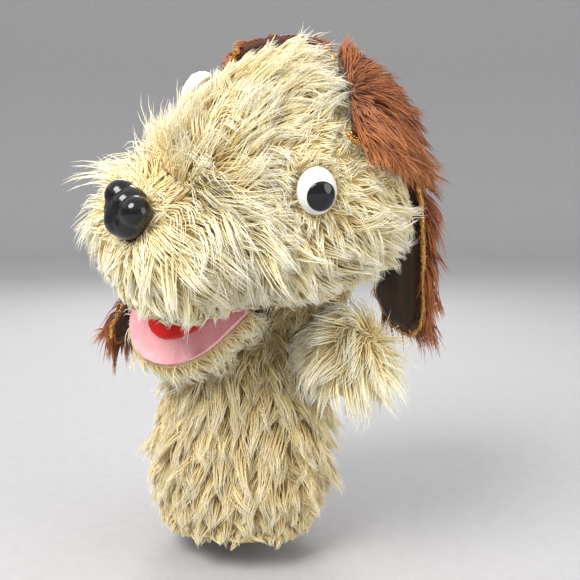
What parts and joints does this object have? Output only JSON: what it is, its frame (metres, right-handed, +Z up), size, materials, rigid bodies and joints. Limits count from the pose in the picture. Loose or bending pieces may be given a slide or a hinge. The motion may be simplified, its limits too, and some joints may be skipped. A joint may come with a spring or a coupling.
{
  "type": "hand puppet",
  "caption": "Shaggy dog glove puppet with a stuffed head, moving jaw, hanging ears, stub arms and a sleeve that a hand goes into.",
  "frame": {"origin": "centre of the sleeve's opening, in the plane of its hem, where the hand goes in", "axes": "+Z up along the sleeve, the body's front faces -Y, the body's left is +X"},
  "size_m": [0.1552, 0.1459, 0.2294],
  "materials": {
    "cream_fur": "long shaggy pile, ivory tips over a yellower base, matt",
    "brown_fur": "long straight pile, chestnut tips over a dark brown base, slight sheen",
    "ear_lining": "short dark brown nap, matt",
    "gold_thread": "overlocked metallic gold and tan thread",
    "pink_felt": "matt wool felt with a soft nap",
    "red_felt": "matt wool felt with a soft nap",
    "white_plastic": "glossy moulded plastic",
    "black_plastic": "glossy moulded plastic",
    "washer_plastic": "plain moulded plastic",
    "stuffing": "loose polyester fibre",
    "pocket_cloth": "plain woven cotton",
    "card": "stiff uncoated board"
  },
  "bodies": {
    "sleeve": {"body_front": "cream_fur", "body_back": "cream_fur", "hem_facing": "pocket_cloth"},
    "neck_lower": {"neck_cloth_lower": "cream_fur"},
    "neck_upper": {"neck_cloth_upper": "cream_fur"},
    "head": {"head_side_left": "cream_fur", "head_side_right": "cream_fur", "head_gusset": "cream_fur", "muzzle": "cream_fur", "head_padding": "stuffing", "finger_pocket": "pocket_cloth", "palate_felt": "pink_felt", "mouth_board_upper": "card", "eye_white_left": "white_plastic", "eye_white_right": "white_plastic", "pupil_left": "black_plastic", "pupil_right": "black_plastic", "eye_washer_left": "washer_plastic", "eye_washer_right": "washer_plastic", "nose": "black_plastic", "nose_washer": "washer_plastic"},
    "jaw": {"jaw_fur": "cream_fur", "jaw_padding": "stuffing", "thumb_pocket": "pocket_cloth", "mouth_board_lower": "card", "lower_mouth_felt": "pink_felt", "tongue": "red_felt"},
    "ear_left": {"ear_left_fur": "brown_fur", "ear_left_lining": "ear_lining", "ear_left_edging": "gold_thread"},
    "ear_right": {"ear_right_fur": "brown_fur", "ear_right_lining": "ear_lining", "ear_right_edging": "gold_thread"},
    "arm_left": {"arm_left_fur": "cream_fur", "arm_left_stuffing": "stuffing"},
    "arm_right": {"arm_right_fur": "cream_fur", "arm_right_stuffing": "stuffing"}
  },
  "joints": [
    {"name": "head_turn", "type": "hinge", "parent": "sleeve", "child": "neck_lower", "pos_m": [0.009, 0, 0.105], "axis": [0, 0, 1], "range_deg": [-15, 30], "deforming": ["neck_cloth_lower"]},
    {"name": "head_tilt", "type": "hinge", "parent": "neck_lower", "child": "neck_upper", "pos_m": [0.009, 0, 0.105], "axis": [0.2215, 0.9752, 0], "range_deg": [-45, 0], "deforming": ["neck_cloth_upper"]},
    {"name": "head_nod", "type": "hinge", "parent": "neck_upper", "child": "head", "pos_m": [0.009, 0, 0.105], "axis": [0.8521, -0.1936, -0.4863], "range_deg": [-30, 0]},
    {"name": "jaw_open", "type": "hinge", "parent": "head", "child": "jaw", "pos_m": [0.01526, -0.02756, 0.12694], "axis": [0.8521, -0.1936, -0.4863], "range_deg": [-38, 0]},
    {"name": "ear_left_lift", "type": "hinge", "parent": "head", "child": "ear_left", "pos_m": [0.08359, -0.02983, 0.19953], "axis": [0.4638, -0.4329, -0.773], "range_deg": [0, 70], "deforming": ["ear_left_fur", "ear_left_lining", "ear_left_edging"]},
    {"name": "ear_right_lift", "type": "hinge", "parent": "head", "child": "ear_right", "pos_m": [0.04352, -0.0205, 0.2223], "axis": [0.9918, 0.124, -0.031], "range_deg": [0, 70], "deforming": ["ear_right_fur", "ear_right_lining", "ear_right_edging"]},
    {"name": "arm_left_swing", "type": "hinge", "parent": "sleeve", "child": "arm_left", "pos_m": [0.0515, 0.001, 0.087], "axis": [0, 0, 1], "range_deg": [-60, 20]},
    {"name": "arm_right_swing", "type": "hinge", "parent": "sleeve", "child": "arm_right", "pos_m": [-0.037, 0.014, 0.085], "axis": [0, 0, 1], "range_deg": [-10, 60]}
  ]
}
